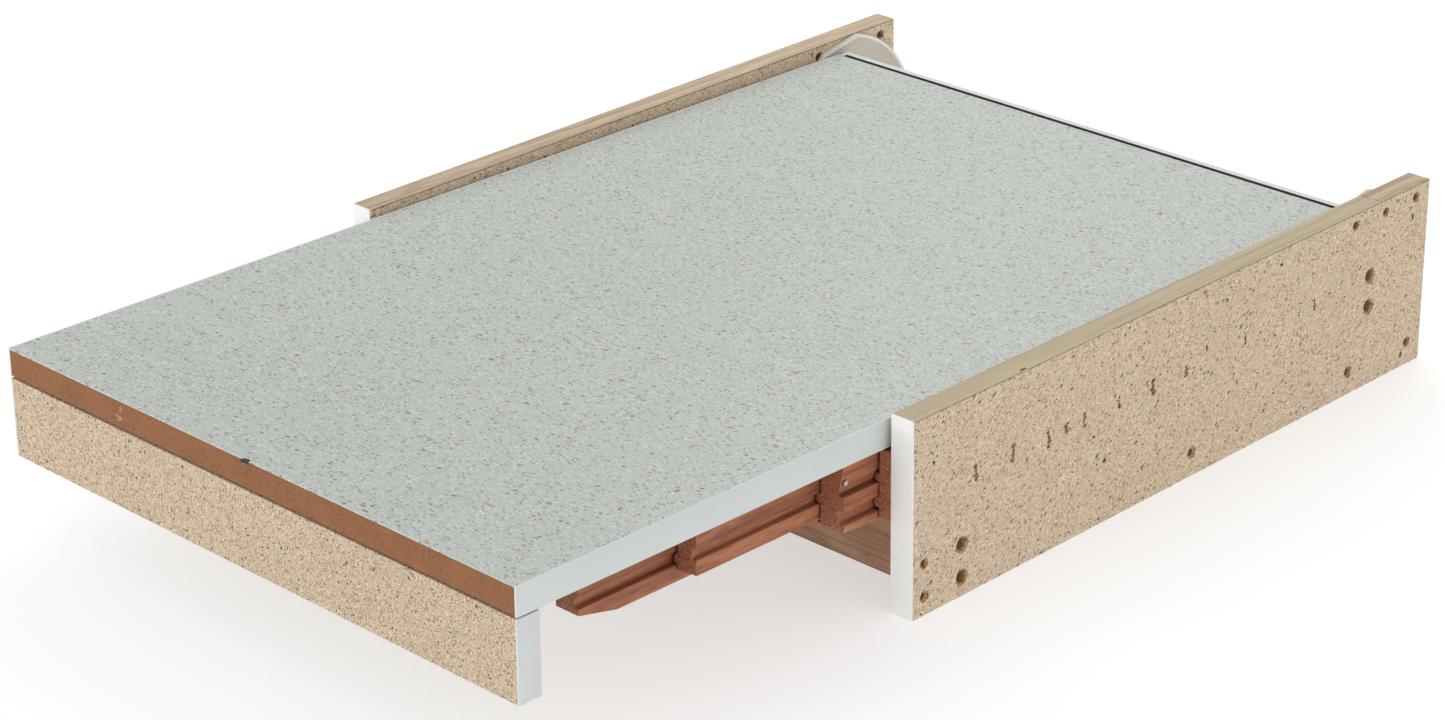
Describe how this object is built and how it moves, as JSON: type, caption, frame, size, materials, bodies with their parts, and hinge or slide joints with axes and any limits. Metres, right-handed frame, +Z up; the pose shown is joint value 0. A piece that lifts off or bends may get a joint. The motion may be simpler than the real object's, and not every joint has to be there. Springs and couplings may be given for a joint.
{
  "type": "pull-out table on telescopic runners",
  "caption": "Pull-out worktop that slides from a cabinet's drawer position on interlocking wooden telescopic runners between two side panels.",
  "frame": {"origin": "centre of the bounding box in X and Y, on the surface that the side panels stand on", "axes": "+X to the right, -Y the way the table pulls out, +Z up"},
  "size_m": [0.474, 0.788, 0.1245],
  "materials": {
    "particleboard": "raw chipboard, matt",
    "veneer_edging": "raw wood veneer",
    "edge_band": "satin white edging",
    "runner_wood": "planed red hardwood",
    "cross_rail_wood": "planed brown wood",
    "fibreboard": "raw fibreboard",
    "speckled_laminate": "speckled satin laminate",
    "laminate_backing": "matt balancing sheet",
    "white_plastic": "moulded, satin",
    "white_trim": "satin extruded trim",
    "black_seal": "matt rubber",
    "zinc_steel": "bright zinc"
  },
  "bodies": {
    "cabinet": {"cross_rail": "cross_rail_wood", "cross_rail_screw_left_1": "zinc_steel", "cross_rail_screw_left_2": "zinc_steel", "cross_rail_screw_right_1": "zinc_steel", "cross_rail_screw_right_2": "zinc_steel", "fixed_rail_left": "runner_wood", "fixed_rail_right": "runner_wood", "fixed_rail_screw_left_1": "zinc_steel", "fixed_rail_screw_left_2": "zinc_steel", "fixed_rail_screw_left_3": "zinc_steel", "fixed_rail_screw_right_1": "zinc_steel", "fixed_rail_screw_right_2": "zinc_steel", "fixed_rail_screw_right_3": "zinc_steel", "guide_plate_left": "white_plastic", "guide_plate_right": "white_plastic", "guide_plate_screw_left_1": "zinc_steel", "guide_plate_screw_left_2": "zinc_steel", "guide_plate_screw_right_1": "zinc_steel", "guide_plate_screw_right_2": "zinc_steel", "side_edge_band_left": "edge_band", "side_edge_band_right": "edge_band", "side_panel_left": "particleboard", "side_panel_right": "particleboard", "top_edging_left": "veneer_edging", "top_edging_right_front": "veneer_edging", "top_edging_right_rear": "veneer_edging"},
    "outer_left": {"outer_rail_left": "runner_wood", "stop_pin_left": "zinc_steel"},
    "outer_right": {"outer_rail_right": "runner_wood", "stop_pin_right": "zinc_steel"},
    "middle_left": {"middle_rail_left": "runner_wood"},
    "middle_right": {"middle_rail_right": "runner_wood"},
    "table": {"bracket_screw_left_front": "zinc_steel", "bracket_screw_left_top": "zinc_steel", "bracket_screw_right_front": "zinc_steel", "bracket_screw_right_top": "zinc_steel", "front_bracket_left": "zinc_steel", "front_bracket_right": "zinc_steel", "front_edge_band_left": "edge_band", "front_edge_band_right": "edge_band", "front_panel": "particleboard", "inner_rail_left": "runner_wood", "inner_rail_right": "runner_wood", "inner_rail_screw_left_1": "zinc_steel", "inner_rail_screw_left_2": "zinc_steel", "inner_rail_screw_left_3": "zinc_steel", "inner_rail_screw_right_1": "zinc_steel", "inner_rail_screw_right_2": "zinc_steel", "inner_rail_screw_right_3": "zinc_steel", "rear_seal": "black_seal", "rear_strip": "white_trim", "table_backing": "laminate_backing", "table_core": "fibreboard", "table_edge_band_left": "edge_band", "table_edge_band_right": "edge_band", "table_laminate": "speckled_laminate"}
  },
  "joints": [
    {"name": "table_slide", "type": "slide", "parent": "cabinet", "child": "table", "axis": [0, -0.9999, 0.0113], "range_m": [-0.262, 0.27]},
    {"name": "outer_left_slide", "type": "slide", "parent": "cabinet", "child": "outer_left", "axis": [0, -0.9999, 0.0113], "range_m": [-0.0874, 0.0901]},
    {"name": "middle_left_slide", "type": "slide", "parent": "outer_left", "child": "middle_left", "axis": [0, -0.9999, 0.0113], "range_m": [-0.0874, 0.0901]},
    {"name": "outer_right_slide", "type": "slide", "parent": "cabinet", "child": "outer_right", "axis": [0, -0.9999, 0.0113], "range_m": [-0.0874, 0.0901]},
    {"name": "middle_right_slide", "type": "slide", "parent": "outer_right", "child": "middle_right", "axis": [0, -0.9999, 0.0113], "range_m": [-0.0874, 0.0901]}
  ],
  "couplings": [
    {"joint": "outer_left_slide", "follows": "table_slide", "ratio": 0.33333},
    {"joint": "middle_left_slide", "follows": "table_slide", "ratio": 0.33333},
    {"joint": "outer_right_slide", "follows": "table_slide", "ratio": 0.33333},
    {"joint": "middle_right_slide", "follows": "table_slide", "ratio": 0.33333}
  ]
}
